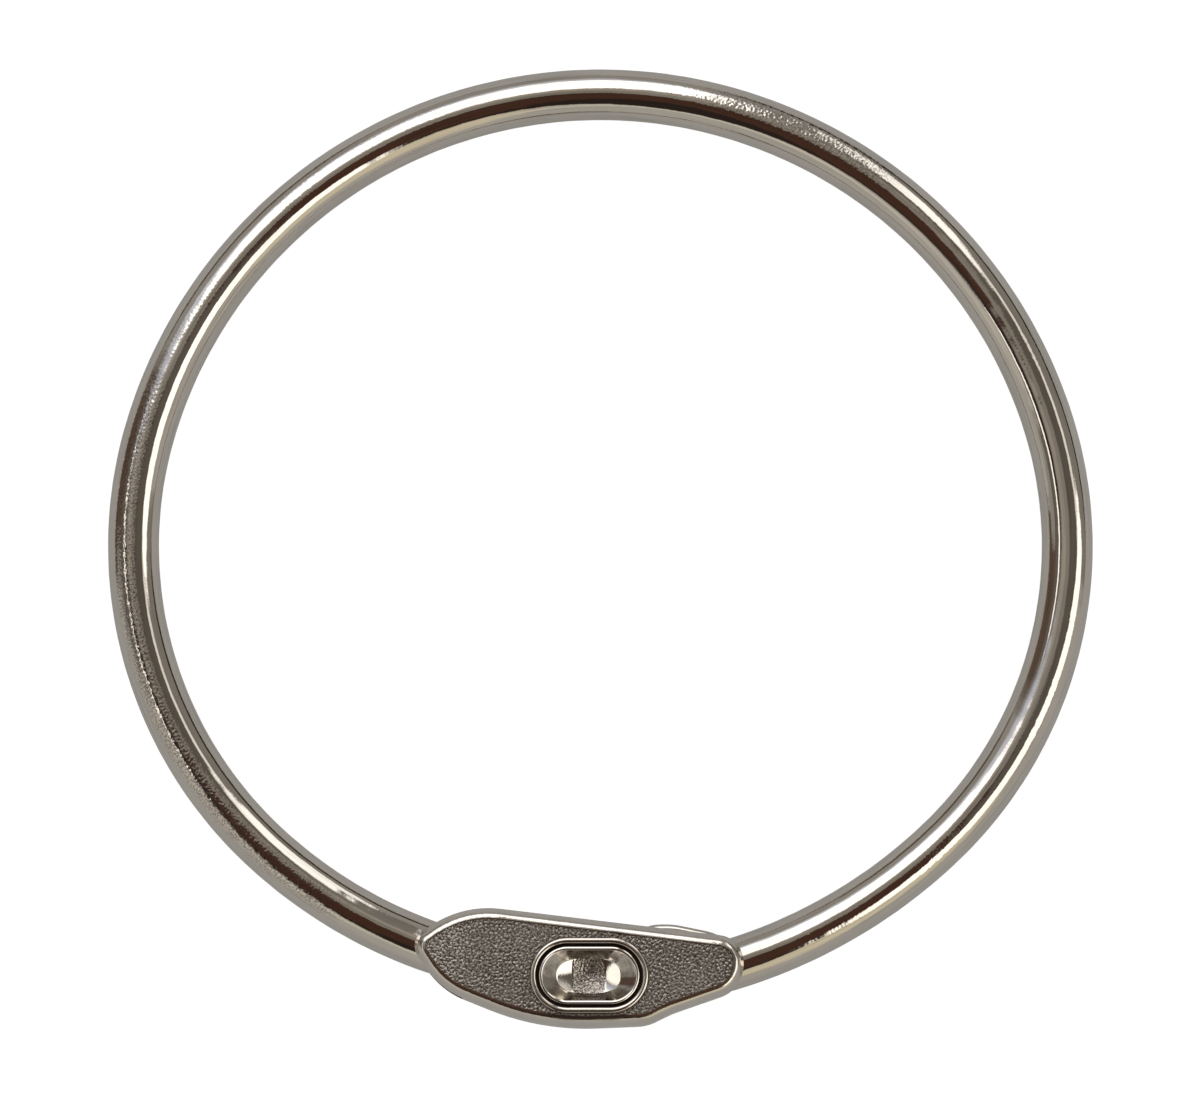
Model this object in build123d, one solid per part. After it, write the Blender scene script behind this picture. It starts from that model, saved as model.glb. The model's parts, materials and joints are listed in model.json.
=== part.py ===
from build123d import *
import os
from math import cos, radians, sin, tan

# Binder ring, in mm. The origin is the centre of the hoop, in the plane of the wire.
# +Z is the side of the push button, and the clasp lies towards -Y.

# Hoop of round wire
WIRE_DIAMETER = 4.4
HOOP_INSIDE_WIDTH = 76.2
SIDE_RADIUS = 35.6  # mid-line of the two side arcs
TOP_JOIN_ANGLE = 16.0  # above the widest line, where the top arc meets the side arcs
SIDE_END_ANGLE = 47.0  # below the widest line, where the side arcs pass into the tails
EYE_DIAMETER = 6.0
EYE_THICKNESS = 2.6
TONGUE_THICKNESS = 2.1
TONGUE_LENGTH = 4.4  # of the flats, from the tip

# Clasp casting
BUTTON_SHIFT = -0.97  # button centre from the hoop's centre line
BUTTON_DROP = 37.3  # button centre below the hoop's centre
CLASP_LENGTH = 27.5
CLASP_WIDTH = 9.2
CLASP_THICKNESS = 7.0
DRAFT_SPREAD = 0.42  # outline of the sides over the outline of the faces
FRONT_EDGE_RADIUS = 0.65  # takes up the whole rim
BACK_EDGE_RADIUS = 0.15
RIM_WIDTH = 0.47
PANEL_DEPTH = 0.3
FRONT_WALL = 1.3  # under the panel, over the pocket of the button
SWING_ANGLE = 45.0
LIP_THICKNESS = 0.9
LIP_EDGE_RADIUS = 0.4
# corners of the face outline about the button, as shares of the length and the width, and how
# much of the shorter side beside a corner its rounding takes
OUTLINE_SHARES = (
    (-0.393, 0.621, 0.638),
    (-0.542, 0.308, 0.234),
    (-0.455, -0.083, 0.475),
    (-0.149, -0.451, 0.521),
    (0.178, -0.413, 0.318),
    (0.253, -0.302, 0.225),
    (0.466, -0.081, 0.471),
    (0.466, 0.312, 0.452),
)
# lead-in lip of the back cheek beside the nose, in the same shares
LIP_SHARES = (
    (0.100, 0.300, 0.45),
    (0.175, 0.497, 0.50),
    (0.262, 0.503, 0.30),
    (0.390, 0.425, 0.40),
    (0.452, 0.330, 0.40),
    (0.470, 0.200, 0.50),
)
PIVOT_SHARES = (-0.3545, 0.155)

# Push button
BUTTON_LENGTH = 8.6
BUTTON_WIDTH = 4.9
BUTTON_PROUD = 0.15  # over the rim of the clasp
BUTTON_EDGE_RADIUS = 0.12
DISH_RIM = 0.2
DISH_DEPTH = 1.7
DISH_FLOOR_RADIUS = 6.0
DISH_FLOOR_SHARES = (0.46, 0.607)  # of the mouth's length and width, left at the full depth
FLANGE_LAP = 0.3  # past the hole, on each side
FLANGE_THICKNESS = 0.8
FOOT_WIDTH = 1.8
FOOT_SPAN_SHARES = (-0.12, 0.45)  # of the button's length, left and right of its centre
COLLAR_WIDTH = 0.45
COLLAR_RISE = 0.5  # over the panel
COLLAR_CROWN = 0.08  # rise of its round top over its two sides

# Leaf spring and its catch tab
LEAF_THICKNESS = 0.25
LEAF_WIDTH = 2.4
LEAF_BEND_RADIUS = 0.4
RAMP_SHARES = (-0.53, -0.30)  # of the button's length, foot and head of the ramp
TAB_WIDTH = 1.4
TAB_BITE = 0.6  # into the tongue

# Cover, rivets and pin
PLATE_THICKNESS = 0.8
PLATE_LEDGE = 0.3
PLATE_SINK = 0.05  # below the back face
LUG_RADIUS = 0.95
RIVET_RADIUS = 0.4
RIVET_HEAD_RADIUS = 0.7
RIVET_HEAD_HEIGHT = 0.35
RIVET_DEPTH = 1.2  # into the casting
RIVET_ANGLES = (40.0, 140.0, 180.0)  # round the ends of the button's pocket
RIVET_WEB = 0.8  # from the wall of the pocket to a rivet's axis
PIN_RADIUS = 1.2
PIN_HEAD_RADIUS = 1.8
PIN_HEAD_HEIGHT = 0.6
PIN_COVER = 0.6  # casting left in front of the pin
BOSS_RADIUS = 2.3

# Fits
SLOT_GAP = 0.1  # round the wire in its seats
TIP_GAP = 0.35  # before the tip of the free end
EYE_GAP = 0.2  # round the rim of the eye
EYE_END_GAP = 0.05
PIN_RUNNING_GAP = 0.05
SEAT_GAP = 0.02
BUTTON_GAP = 0.3
FLANGE_GAP = 0.1
FLANGE_TOP_GAP = 0.05
TONGUE_STANDOFF = 1.0  # from the flange to the tip of the free end
LEAF_GAP = 0.15  # under the tongue
LEAF_SIDE_GAP = 0.3
FOOT_GAP = 0.03
TAB_GAP = 0.25
OVERRUN = 1.0

# Worked out from the sizes above
WIRE_RADIUS = WIRE_DIAMETER / 2
HALF_THICKNESS = CLASP_THICKNESS / 2
SLOT_HALF = WIRE_RADIUS + SLOT_GAP
EYE_HALF = EYE_THICKNESS / 2
TONGUE_HALF = TONGUE_THICKNESS / 2
PANEL_Z = HALF_THICKNESS - PANEL_DEPTH
POCKET_TOP = PANEL_Z - FRONT_WALL
HOLE_LENGTH = BUTTON_LENGTH + 2 * BUTTON_GAP
HOLE_WIDTH = BUTTON_WIDTH + 2 * BUTTON_GAP
FLANGE_LENGTH = HOLE_LENGTH + 2 * FLANGE_LAP
FLANGE_WIDTH = HOLE_WIDTH + 2 * FLANGE_LAP
POCKET_LENGTH = FLANGE_LENGTH + 2 * FLANGE_GAP
POCKET_WIDTH = FLANGE_WIDTH + 2 * FLANGE_GAP
PLATE_IN = -HALF_THICKNESS + PLATE_SINK + PLATE_THICKNESS
LEAF_TOP = -TONGUE_HALF - LEAF_GAP
LEAF_LOW = LEAF_TOP - LEAF_THICKNESS
TAB_TOP = -TONGUE_HALF + TAB_BITE
BUTTON = Vector(BUTTON_SHIFT, -BUTTON_DROP)
PIVOT = BUTTON + Vector(PIVOT_SHARES[0] * CLASP_LENGTH, PIVOT_SHARES[1] * CLASP_WIDTH)
TIP_X = FLANGE_LENGTH / 2 + TONGUE_STANDOFF  # tip of the free end, from the button
TONGUE_END = BUTTON + Vector(TIP_X + WIRE_RADIUS, 0)
CATCH_X = TIP_X + WIRE_RADIUS - TAB_GAP  # catch tab, from the button


def slab(sketch, low, high):
    """A flat sketch made solid between two heights."""
    return Pos(0, 0, low) * extrude(sketch, high - low)


def rod(centre, radius, low, high):
    """An upright round bar between two heights."""
    return slab(Pos(centre.X, centre.Y) * Circle(radius), low, high)


def block(left, right, near, far, low, high):
    """A box between six limits, with its sides measured from the button's centre."""
    middle = BUTTON + Vector((left + right) / 2, (near + far) / 2)
    return slab(Pos(middle.X, middle.Y) * Rectangle(right - left, far - near), low, high)


def oval(length, width):
    """A slot-shaped face about the button's centre."""
    return Pos(BUTTON.X, BUTTON.Y) * SlotOverall(length, width)


def rounded(shares):
    """A face with rounded corners, from a table of shares of the clasp's length and width."""
    points = [BUTTON + Vector(x * CLASP_LENGTH, y * CLASP_WIDTH) for x, y, _ in shares]
    radii = []
    for k, point in enumerate(points):
        side_in = point - points[k - 1]
        side_out = points[(k + 1) % len(points)] - point
        run = shares[k][2] * min(side_in.length, side_out.length)
        radii.append(run / tan(radians(side_in.get_angle(side_out)) / 2))
    return make_face(FilletPolyline(*points, radius=radii, close=True))


def hoop_line():
    """Mid-line of the wire, from the pivot round to the free end: five tangent arcs."""
    half_width = (HOOP_INSIDE_WIDTH + WIRE_DIAMETER) / 2
    shift = half_width - SIDE_RADIUS
    join = radians(TOP_JOIN_ANGLE)
    top_radius = SIDE_RADIUS + shift / cos(join)
    top_drop = (top_radius - SIDE_RADIUS) * sin(join)
    sweep_angle = TOP_JOIN_ANGLE + SIDE_END_ANGLE
    right = CenterArc((shift, 0), SIDE_RADIUS, -SIDE_END_ANGLE, sweep_angle)
    top = CenterArc((0, -top_drop), top_radius, TOP_JOIN_ANGLE, 180 - 2 * TOP_JOIN_ANGLE)
    left = CenterArc((-shift, 0), SIDE_RADIUS, 180 - TOP_JOIN_ANGLE, sweep_angle)
    right_tail = TangentArc(right @ 0, TONGUE_END, tangent=-(right % 0))
    left_tail = TangentArc(left @ 1, PIVOT, tangent=left % 1)
    return right_tail, right, top, left, left_tail


def tube(line, radius):
    """A round bar along one arc of the mid-line."""
    return sweep(Plane(origin=line @ 0, z_dir=line % 0) * Circle(radius), path=line)


def hoop(lines):
    """Bent wire with a coined eye at the pivot and a flatted, rounded free end."""
    wire = Pos(TONGUE_END.X, TONGUE_END.Y) * Sphere(WIRE_RADIUS)
    for line in lines:
        wire += tube(line, WIRE_RADIUS)
    reach = WIRE_RADIUS + OVERRUN
    flat_radius = EYE_DIAMETER / 2 + EYE_GAP
    for side in (1, -1):
        above = sorted((side * EYE_HALF, side * reach))
        wire -= rod(PIVOT, flat_radius, *above)
        above = sorted((side * TONGUE_HALF, side * reach))
        wire -= block(TIP_X - OVERRUN, TIP_X + TONGUE_LENGTH, -reach, reach, *above)
    wire += rod(PIVOT, EYE_DIAMETER / 2, -EYE_HALF, EYE_HALF)
    wire -= rod(PIVOT, PIN_RADIUS + PIN_RUNNING_GAP, -reach, reach)
    half = TAB_WIDTH / 2 + TAB_GAP
    pocket = block(CATCH_X - TAB_GAP, CATCH_X + LEAF_THICKNESS + TAB_GAP, -half, half,
                   -reach, TAB_TOP + TAB_GAP)
    return wire - pocket


def collar():
    """Bead with a round top, carried round the button's hole."""
    line = oval(HOLE_LENGTH + COLLAR_WIDTH, HOLE_WIDTH + COLLAR_WIDTH).face().outer_wire()
    half, top = COLLAR_WIDTH / 2, PANEL_Z + COLLAR_RISE
    left, right = (-half, top - COLLAR_CROWN), (half, top - COLLAR_CROWN)
    sides = Polyline(left, (-half, POCKET_TOP), (half, POCKET_TOP), right)
    section = make_face(sides + ThreePointArc(right, (0, top), left))
    across = Vector(0, 0, 1).cross(line % 0)
    return sweep(Plane(origin=line @ 0, x_dir=across, z_dir=line % 0) * section, path=line)


def case(outline):
    """Outer form of the clasp: upright sides beside the wire, draft to both faces, panel and collar."""
    wide = offset(outline, DRAFT_SPREAD)
    front = loft([Pos(0, 0, SLOT_HALF) * wide, Pos(0, 0, HALF_THICKNESS) * outline], ruled=True)
    form = slab(wide, -SLOT_HALF, SLOT_HALF) + front + mirror(front, Plane.XY)
    edges = form.edges().group_by(Axis.Z)
    form = fillet(edges[-1], FRONT_EDGE_RADIUS)
    form = fillet(form.edges().group_by(Axis.Z)[0], BACK_EDGE_RADIUS)
    form -= slab(offset(outline, -RIM_WIDTH), PANEL_Z, HALF_THICKNESS + OVERRUN)
    return form + collar()


def nose_slot(tail):
    """Seat of the free end: a half-round groove, open towards the middle of the hoop."""
    reach = (TONGUE_END - PIVOT).length - WIRE_RADIUS - TIP_GAP
    room = BUTTON + Vector(CLASP_LENGTH / 2, CLASP_WIDTH / 2)
    band = Pos(tail.arc_center.X, tail.arc_center.Y) * Circle(tail.radius)
    band &= Pos(room.X, room.Y) * Rectangle(CLASP_LENGTH, 2 * CLASP_WIDTH)
    band -= Pos(PIVOT.X, PIVOT.Y) * Circle(reach)
    cut = slab(band, -SLOT_HALF, SLOT_HALF) + tube(tail, SLOT_HALF)
    return cut + Pos(TONGUE_END.X, TONGUE_END.Y) * Sphere(SLOT_HALF)


def pivot_slot(tail):
    """Room for the eye and for the swing of the wire about the pin."""
    turned = (tail.arc_center - PIVOT).rotate(Axis.Z, SWING_ANGLE) + PIVOT
    room = PIVOT - Vector(CLASP_LENGTH / 2, 0)
    band = Pos(turned.X, turned.Y) * Circle(tail.radius + SLOT_HALF)
    band -= Pos(tail.arc_center.X, tail.arc_center.Y) * Circle(tail.radius)
    band &= Pos(room.X, room.Y) * Rectangle(CLASP_LENGTH, 2 * CLASP_WIDTH)
    band += Pos(PIVOT.X, PIVOT.Y) * Circle(EYE_DIAMETER / 2 + EYE_GAP)
    return slab(band, -SLOT_HALF, SLOT_HALF) + tube(tail, SLOT_HALF)


def rivet_spots():
    """Rivet places, round the two ends of the button's pocket."""
    run = (POCKET_LENGTH - POCKET_WIDTH) / 2
    far = POCKET_WIDTH / 2 + RIVET_WEB
    spots = []
    for angle in RIVET_ANGLES:
        turn = Vector(cos(radians(angle)), sin(radians(angle)))
        end = Vector(run if turn.X > 0 else -run, 0)
        spots.append(BUTTON + end + far * turn)
    return spots


def plate_face(gap):
    """Outline of the cover, with a lug round each rivet, grown by a gap."""
    grown = 2 * (PLATE_LEDGE + gap)
    face = oval(POCKET_LENGTH + grown, POCKET_WIDTH + grown)
    for spot in rivet_spots():
        face += Pos(spot.X, spot.Y) * Circle(LUG_RADIUS + gap)
    return face


def clasp_body(lines):
    """Die-cast case with both wire seats, the button's pocket and the seats of the cover and pin."""
    outline = rounded(OUTLINE_SHARES)
    back = -HALF_THICKNESS - OVERRUN
    body = case(outline)
    lip = slab(rounded(LIP_SHARES), -SLOT_HALF - LIP_THICKNESS, -SLOT_HALF)
    body += fillet(lip.edges().group_by(Axis.Z)[-1], LIP_EDGE_RADIUS)
    body -= nose_slot(lines[0])
    body -= pivot_slot(lines[-1])
    boss_low = EYE_HALF + EYE_END_GAP
    for low, high in ((boss_low, SLOT_HALF), (-SLOT_HALF, -boss_low)):
        body += rod(PIVOT, BOSS_RADIUS, low, high)
    body -= slab(oval(HOLE_LENGTH, HOLE_WIDTH), 0, HALF_THICKNESS + OVERRUN)
    body -= slab(oval(POCKET_LENGTH, POCKET_WIDTH), back, POCKET_TOP)
    body -= slab(plate_face(SEAT_GAP), back, PLATE_IN)
    leaf_half = LEAF_WIDTH / 2 + LEAF_SIDE_GAP
    leaf_end = CATCH_X + LEAF_THICKNESS + LEAF_SIDE_GAP
    body -= block(0, leaf_end, -leaf_half, leaf_half, PLATE_IN, LEAF_TOP + LEAF_GAP)
    seat_left = min(spot.X for spot in rivet_spots()) - LUG_RADIUS - BUTTON.X
    body -= block(seat_left, 0, -leaf_half, leaf_half, PLATE_IN, PLATE_IN + LEAF_THICKNESS)
    for spot in rivet_spots():
        body -= rod(spot, RIVET_RADIUS + SEAT_GAP, back, PLATE_IN + RIVET_DEPTH + SEAT_GAP)
    pin_top = PANEL_Z - PIN_COVER
    body -= rod(PIVOT, PIN_RADIUS + SEAT_GAP, back, pin_top + SEAT_GAP)
    head_top = -HALF_THICKNESS + PLATE_SINK + PIN_HEAD_HEIGHT
    return body - rod(PIVOT, PIN_HEAD_RADIUS + SEAT_GAP, back, head_top)


def push_button():
    """Oval button: a dished top, a flange that the front wall holds back, and a foot on the leaf."""
    top = HALF_THICKNESS + BUTTON_PROUD
    flange_top = POCKET_TOP - FLANGE_TOP_GAP
    stem = slab(oval(BUTTON_LENGTH, BUTTON_WIDTH), flange_top, top)
    stem = fillet(stem.edges().group_by(Axis.Z)[-1], BUTTON_EDGE_RADIUS)
    mouth = (BUTTON_LENGTH - 2 * DISH_RIM, BUTTON_WIDTH - 2 * DISH_RIM)
    floor = oval(*[side * share for side, share in zip(mouth, DISH_FLOOR_SHARES)])
    floor_z = top - DISH_DEPTH
    dish = loft([Pos(0, 0, floor_z) * floor, Pos(0, 0, top) * oval(*mouth)], ruled=True)
    dish &= Pos(BUTTON.X, BUTTON.Y, floor_z + DISH_FLOOR_RADIUS) * Sphere(DISH_FLOOR_RADIUS)
    flange_low = flange_top - FLANGE_THICKNESS
    flange = slab(oval(FLANGE_LENGTH, FLANGE_WIDTH), flange_low, flange_top)
    left, right = [share * BUTTON_LENGTH for share in FOOT_SPAN_SHARES]
    foot = block(left, right, -FOOT_WIDTH / 2, FOOT_WIDTH / 2, LEAF_TOP + FOOT_GAP, flange_low)
    return stem + flange + foot - dish


def spring_catch():
    """Leaf spring: a pad on the cover, a ramp, a flat under the button and an upturned tab."""
    pad_end = min(spot.X for spot in rivet_spots()) - LUG_RADIUS / 2
    ramp_foot, ramp_head = [BUTTON.X + share * BUTTON_LENGTH for share in RAMP_SHARES]
    tab = BUTTON.X + CATCH_X + LEAF_THICKNESS
    pad = ((pad_end, PLATE_IN), (ramp_foot, PLATE_IN))
    flat = ((ramp_head, LEAF_LOW), (tab, LEAF_LOW))
    bent = FilletPolyline(*pad, *flat, (tab, TAB_TOP), radius=LEAF_BEND_RADIUS)
    strip = make_face(offset(bent, LEAF_THICKNESS, side=Side.LEFT))
    upright = Plane(origin=(0, BUTTON.Y, 0), x_dir=(1, 0, 0), z_dir=(0, -1, 0))
    leaf = extrude(upright * strip, LEAF_WIDTH / 2, both=True)
    edge = LEAF_WIDTH / 2 + OVERRUN
    low, high = LEAF_LOW - OVERRUN, TAB_TOP + OVERRUN
    for near, far in ((TAB_WIDTH / 2, edge), (-edge, -TAB_WIDTH / 2)):
        leaf -= block(CATCH_X - LEAF_BEND_RADIUS, CATCH_X + OVERRUN, near, far, low, high)
    hole = rivet_spots()[-1]
    return leaf - rod(hole, RIVET_RADIUS + SEAT_GAP, -HALF_THICKNESS, 0)


def pivot_pin():
    """Headed pin, flush with the back of the clasp."""
    foot = -HALF_THICKNESS + PLATE_SINK
    shank = rod(PIVOT, PIN_RADIUS, foot, PANEL_Z - PIN_COVER)
    return shank + rod(PIVOT, PIN_HEAD_RADIUS, foot, foot + PIN_HEAD_HEIGHT)


def back_plate():
    """Flat cover with a countersunk place for each rivet."""
    low = PLATE_IN - PLATE_THICKNESS
    plate = slab(plate_face(0), low, PLATE_IN)
    for spot in rivet_spots():
        plate -= rod(spot, RIVET_RADIUS + SEAT_GAP, low, PLATE_IN)
        plate -= rod(spot, RIVET_HEAD_RADIUS + SEAT_GAP, low, low + RIVET_HEAD_HEIGHT)
    return plate


def cover_rivets():
    """Like rivets, one solid each."""
    low = PLATE_IN - PLATE_THICKNESS
    rivets = []
    for spot in rivet_spots():
        shank = rod(spot, RIVET_RADIUS, low, PLATE_IN + RIVET_DEPTH)
        rivets.append(shank + rod(spot, RIVET_HEAD_RADIUS, low, low + RIVET_HEAD_HEIGHT))
    return Compound(children=[solid for rivet in rivets for solid in rivet.solids()])


os.makedirs("parts", exist_ok=True)
mid_line = hoop_line()
export_step(hoop(mid_line), "parts/hoop.step")
export_step(clasp_body(mid_line), "parts/clasp_body.step")
export_step(push_button(), "parts/push_button.step")
export_step(spring_catch(), "parts/spring_catch.step")
export_step(pivot_pin(), "parts/pivot_pin.step")
export_step(back_plate(), "parts/back_plate.step")
export_step(cover_rivets(), "parts/cover_rivets.step")
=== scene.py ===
"""Binder ring: a polished wire hoop, a cast clasp with a sand-grained panel and a dished push button.

Laid out as an add-on: settings, one operator for each group of pieces, a sidebar panel, and main().
Every surface is in metres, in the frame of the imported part: +Z is the side of the push button, and the clasp lies
towards -Y.
"""
import functools
import json
import math

import bpy
import numpy as np
from bpy.props import FloatProperty, FloatVectorProperty, IntProperty, PointerProperty
from mathutils import Matrix, Vector


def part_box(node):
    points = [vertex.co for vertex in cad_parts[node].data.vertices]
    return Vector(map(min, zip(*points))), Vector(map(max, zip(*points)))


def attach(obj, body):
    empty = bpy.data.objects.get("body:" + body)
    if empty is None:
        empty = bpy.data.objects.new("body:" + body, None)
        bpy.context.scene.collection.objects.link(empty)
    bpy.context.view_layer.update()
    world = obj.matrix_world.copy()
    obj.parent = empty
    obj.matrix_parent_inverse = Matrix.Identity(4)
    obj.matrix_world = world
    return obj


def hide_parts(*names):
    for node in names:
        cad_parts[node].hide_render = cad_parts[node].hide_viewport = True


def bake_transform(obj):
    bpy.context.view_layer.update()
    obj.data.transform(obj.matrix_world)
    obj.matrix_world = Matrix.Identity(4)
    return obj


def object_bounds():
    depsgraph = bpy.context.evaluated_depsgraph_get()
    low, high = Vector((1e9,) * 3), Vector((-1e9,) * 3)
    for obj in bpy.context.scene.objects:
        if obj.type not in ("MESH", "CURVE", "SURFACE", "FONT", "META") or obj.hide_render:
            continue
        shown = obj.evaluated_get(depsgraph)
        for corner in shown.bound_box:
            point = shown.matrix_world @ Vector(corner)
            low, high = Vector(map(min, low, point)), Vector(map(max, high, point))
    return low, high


bl_info = {
    "name": "Binder ring",
    "version": (1, 0, 0),
    "blender": (4, 5, 0),
    "location": "3D View > Sidebar > Binder ring",
    "description": "Dresses the packed binder ring: wire hoop, clasp, push button and studio",
    "category": "Object",
}

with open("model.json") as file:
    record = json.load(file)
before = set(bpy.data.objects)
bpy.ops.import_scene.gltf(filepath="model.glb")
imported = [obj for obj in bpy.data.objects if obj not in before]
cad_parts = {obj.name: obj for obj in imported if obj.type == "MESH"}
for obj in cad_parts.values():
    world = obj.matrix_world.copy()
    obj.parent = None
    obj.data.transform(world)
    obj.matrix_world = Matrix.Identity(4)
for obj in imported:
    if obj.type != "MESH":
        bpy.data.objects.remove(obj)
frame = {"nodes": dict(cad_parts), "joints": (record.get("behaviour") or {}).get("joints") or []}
CAD_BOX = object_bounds()

MM = 0.001
MICRON = 0.000001
TURN = 2 * math.pi


def extent(node):
    """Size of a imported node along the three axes."""
    low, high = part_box(node)
    return high - low


def middle(node):
    """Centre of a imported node's box."""
    low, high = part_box(node)
    return (low + high) / 2


def joint_place(name):
    """Place of a joint's axis, from the record."""
    return Vector(next(joint["pos_m"] for joint in frame["joints"] if joint["name"] == name))


PIVOT = joint_place("clasp_swing")
BUTTON = middle("push_button")


def length(name, description, default):
    """A setting in metres."""
    return FloatProperty(name=name, description=description, default=default, unit="LENGTH", precision=6)


def angle(name, description, degrees):
    """A setting in degrees, kept in radians."""
    return FloatProperty(name=name, description=description, default=math.radians(degrees), subtype="ANGLE")


def factor(name, description, default):
    """A setting from 0 to 1."""
    return FloatProperty(name=name, description=description, default=default, min=0, max=1, subtype="FACTOR")


def level(name, description, default):
    """A plain brightness, where 1 is white."""
    return FloatProperty(name=name, description=description, default=default, min=0)


def colour(name, description, default):
    """A colour setting, in linear values."""
    return FloatVectorProperty(
        name=name, description=description, default=default, size=3, min=0, max=1, subtype="COLOR"
    )


class HoopSettings(bpy.types.PropertyGroup):
    """Sizes and finish of the wire hoop."""

    outer_width: length("Outer width", "Over the wire, at the widest line", extent("hoop").x)
    wire: length("Wire", "Diameter of the wire", extent("hoop").z)
    side_radius: length("Side radius", "Mid-line of the two side arcs", 35.6 * MM)
    join_angle: angle("Join angle", "Above the widest line, where the top arc meets the side arcs", 16)
    end_angle: angle("End angle", "Below the widest line, where the side arcs pass into the tails", 47)
    tip_reach: length("Tip reach", "From the button's centre to the tip of the free end", 5.9 * MM)
    tongue_thickness: length("Tongue", "Between the two flats of the free end", 2.1 * MM)
    tongue_length: length("Tongue length", "Of the flats, from the tip", 4.4 * MM)
    pocket_start: length("Pocket start", "Of the catch pocket, from the button's centre", 7.6 * MM)
    pocket_length: length("Pocket length", "Of the catch pocket, along the wire", 0.75 * MM)
    pocket_width: length("Pocket width", "Of the catch pocket, across the wire", 1.9 * MM)
    pocket_floor: length("Pocket floor", "Of the catch pocket, below the mid-line", 0.2 * MM)
    eye_diameter: length("Eye", "Diameter of the coined eye", 6.0 * MM)
    eye_thickness: length("Eye thickness", "Of the coined eye", 2.6 * MM)
    eye_room: length("Eye room", "Radius of the coined flat about the pin", 3.2 * MM)
    eye_bore: length("Eye bore", "Diameter of the pin hole", 2.5 * MM)
    ripple: length("Ripple", "Height of the slow waves that polishing leaves", 2.0 * MICRON)
    tint: colour("Nickel", "Colour of the polished plate", (0.66, 0.61, 0.54))
    roughness: factor("Roughness", "Of the polished plate", 0.05)


class ClaspSettings(bpy.types.PropertyGroup):
    """Sizes and finish of the cast clasp."""

    panel_drop: length("Panel drop", "From the top of the collar down to the sunk panel", 0.5 * MM)
    panel_lap: length("Panel lap", "How far the grain runs on under the rim and the collar", 0.2 * MM)
    panel_lift: length("Panel lift", "Mid-height of the grain over the panel", 25 * MICRON)
    grain_pitch: length("Grain pitch", "Spacing of the grid that carries the grain", 0.045 * MM)
    grain_size: length("Grain size", "Of the sand grain", 0.06 * MM)
    grain_height: length("Grain height", "Of the sand grain, root mean square", 9.0 * MICRON)
    tip_grain: factor("Tip grain", "How much higher the grain is at the pointed tip", 1.0)
    tip_length: length("Tip length", "From the pin to where the grain is highest", 3.0 * MM)
    grain_seed: IntProperty(name="Grain seed", description="Start of the grain's random numbers", default=11)
    tint: colour("Nickel", "Colour of the plate on the rim and the sides", (0.66, 0.61, 0.54))
    panel_tint: colour("Panel", "Colour of the plate on the sunk panel", (0.48, 0.45, 0.4))
    roughness: factor("Roughness", "Of the rim and the sides", 0.12)
    panel_roughness: factor("Panel roughness", "Of the sunk panel", 0.34)


class ButtonSettings(bpy.types.PropertyGroup):
    """Sizes and finish of the push button."""

    long_side: length("Length", "Of the oval, over its ends", 8.6 * MM)
    short_side: length("Width", "Of the oval", 4.9 * MM)
    rim_edge: length("Rim edge", "Rounding of the rim's two sides and its crest", 0.05 * MM)
    rim_flank: length("Rim flank", "Rounding of the rim's two flanks", 0.38 * MM)
    dish_depth: length("Dish depth", "At the middle of the floor", 1.7 * MM)
    floor_bend: length("Floor bend", "How far the floor's slope takes to build up from its middle", 1.0 * MM)
    floor_slope: factor("Floor slope", "Of the floor, far from its middle", 0.4)
    floor_long: length("Floor length", "Of the round floor", 5.5 * MM)
    floor_short: length("Floor width", "Of the round floor", 3.0 * MM)
    flange_top: length("Flange top", "Height of the flange under the casing", 1.85 * MM)
    flange_thickness: length("Flange", "Thickness of the flange", 0.8 * MM)
    foot_width: length("Foot width", "Of the foot that presses the leaf spring", 1.8 * MM)
    foot_left: factor("Foot left", "Share of the length, left of the centre", 0.12)
    foot_right: factor("Foot right", "Share of the length, right of the centre", 0.45)
    ramp_foot: factor("Ramp foot", "Of the leaf spring, as a share of the length left of the centre", 0.53)
    ramp_head: factor("Ramp head", "Of the leaf spring, as a share of the length left of the centre", 0.3)
    tint: colour("Nickel", "Colour of the polished plate", (0.68, 0.63, 0.56))
    roughness: factor("Roughness", "Of the polished plate", 0.07)


class StageSettings(bpy.types.PropertyGroup):
    """Camera, floor and light."""

    tilt: angle("Tilt", "Of the camera from straight down", 5)
    distance: length("Distance", "From the camera to the ring", 0.7)
    aim_x: length("Aim X", "Point that the camera looks at", -0.033 * MM)
    aim_y: length("Aim Y", "Point that the camera looks at", -0.406 * MM)
    lens: FloatProperty(name="Lens", description="Focal length", default=243.3, unit="CAMERA")
    floor_side: length("Floor", "Side of the square floor", 4.0)
    floor_gap: length("Floor gap", "Hair of room under the ring", 0.02 * MM)
    floor_tint: colour("Floor colour", "Of the pale floor", (0.78, 0.78, 0.78))
    floor_fill: level("Floor fill", "White that the camera sees on the floor beside its own light", 0.75)
    metal_share: factor("Fill in metal", "Share of that white that metal shows too", 0.03)


class BinderRingSettings(bpy.types.PropertyGroup):
    """All settings of the ring."""

    hoop: PointerProperty(type=HoopSettings)
    clasp: PointerProperty(type=ClaspSettings)
    button: PointerProperty(type=ButtonSettings)
    stage: PointerProperty(type=StageSettings)


# Meshes from arrays

SHARP = math.radians(35)


def lattice(rows, columns, first=0):
    """Corners of the quads of a grid whose columns close on themselves, from the number of its first point."""
    row, column = np.meshgrid(np.arange(rows - 1), np.arange(columns), indexing="ij")
    beside = (column + 1) % columns
    near, far = first + row * columns, first + (row + 1) * columns
    return np.stack((near + column, near + beside, far + beside, far + column), axis=-1).reshape(-1, 4)


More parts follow.
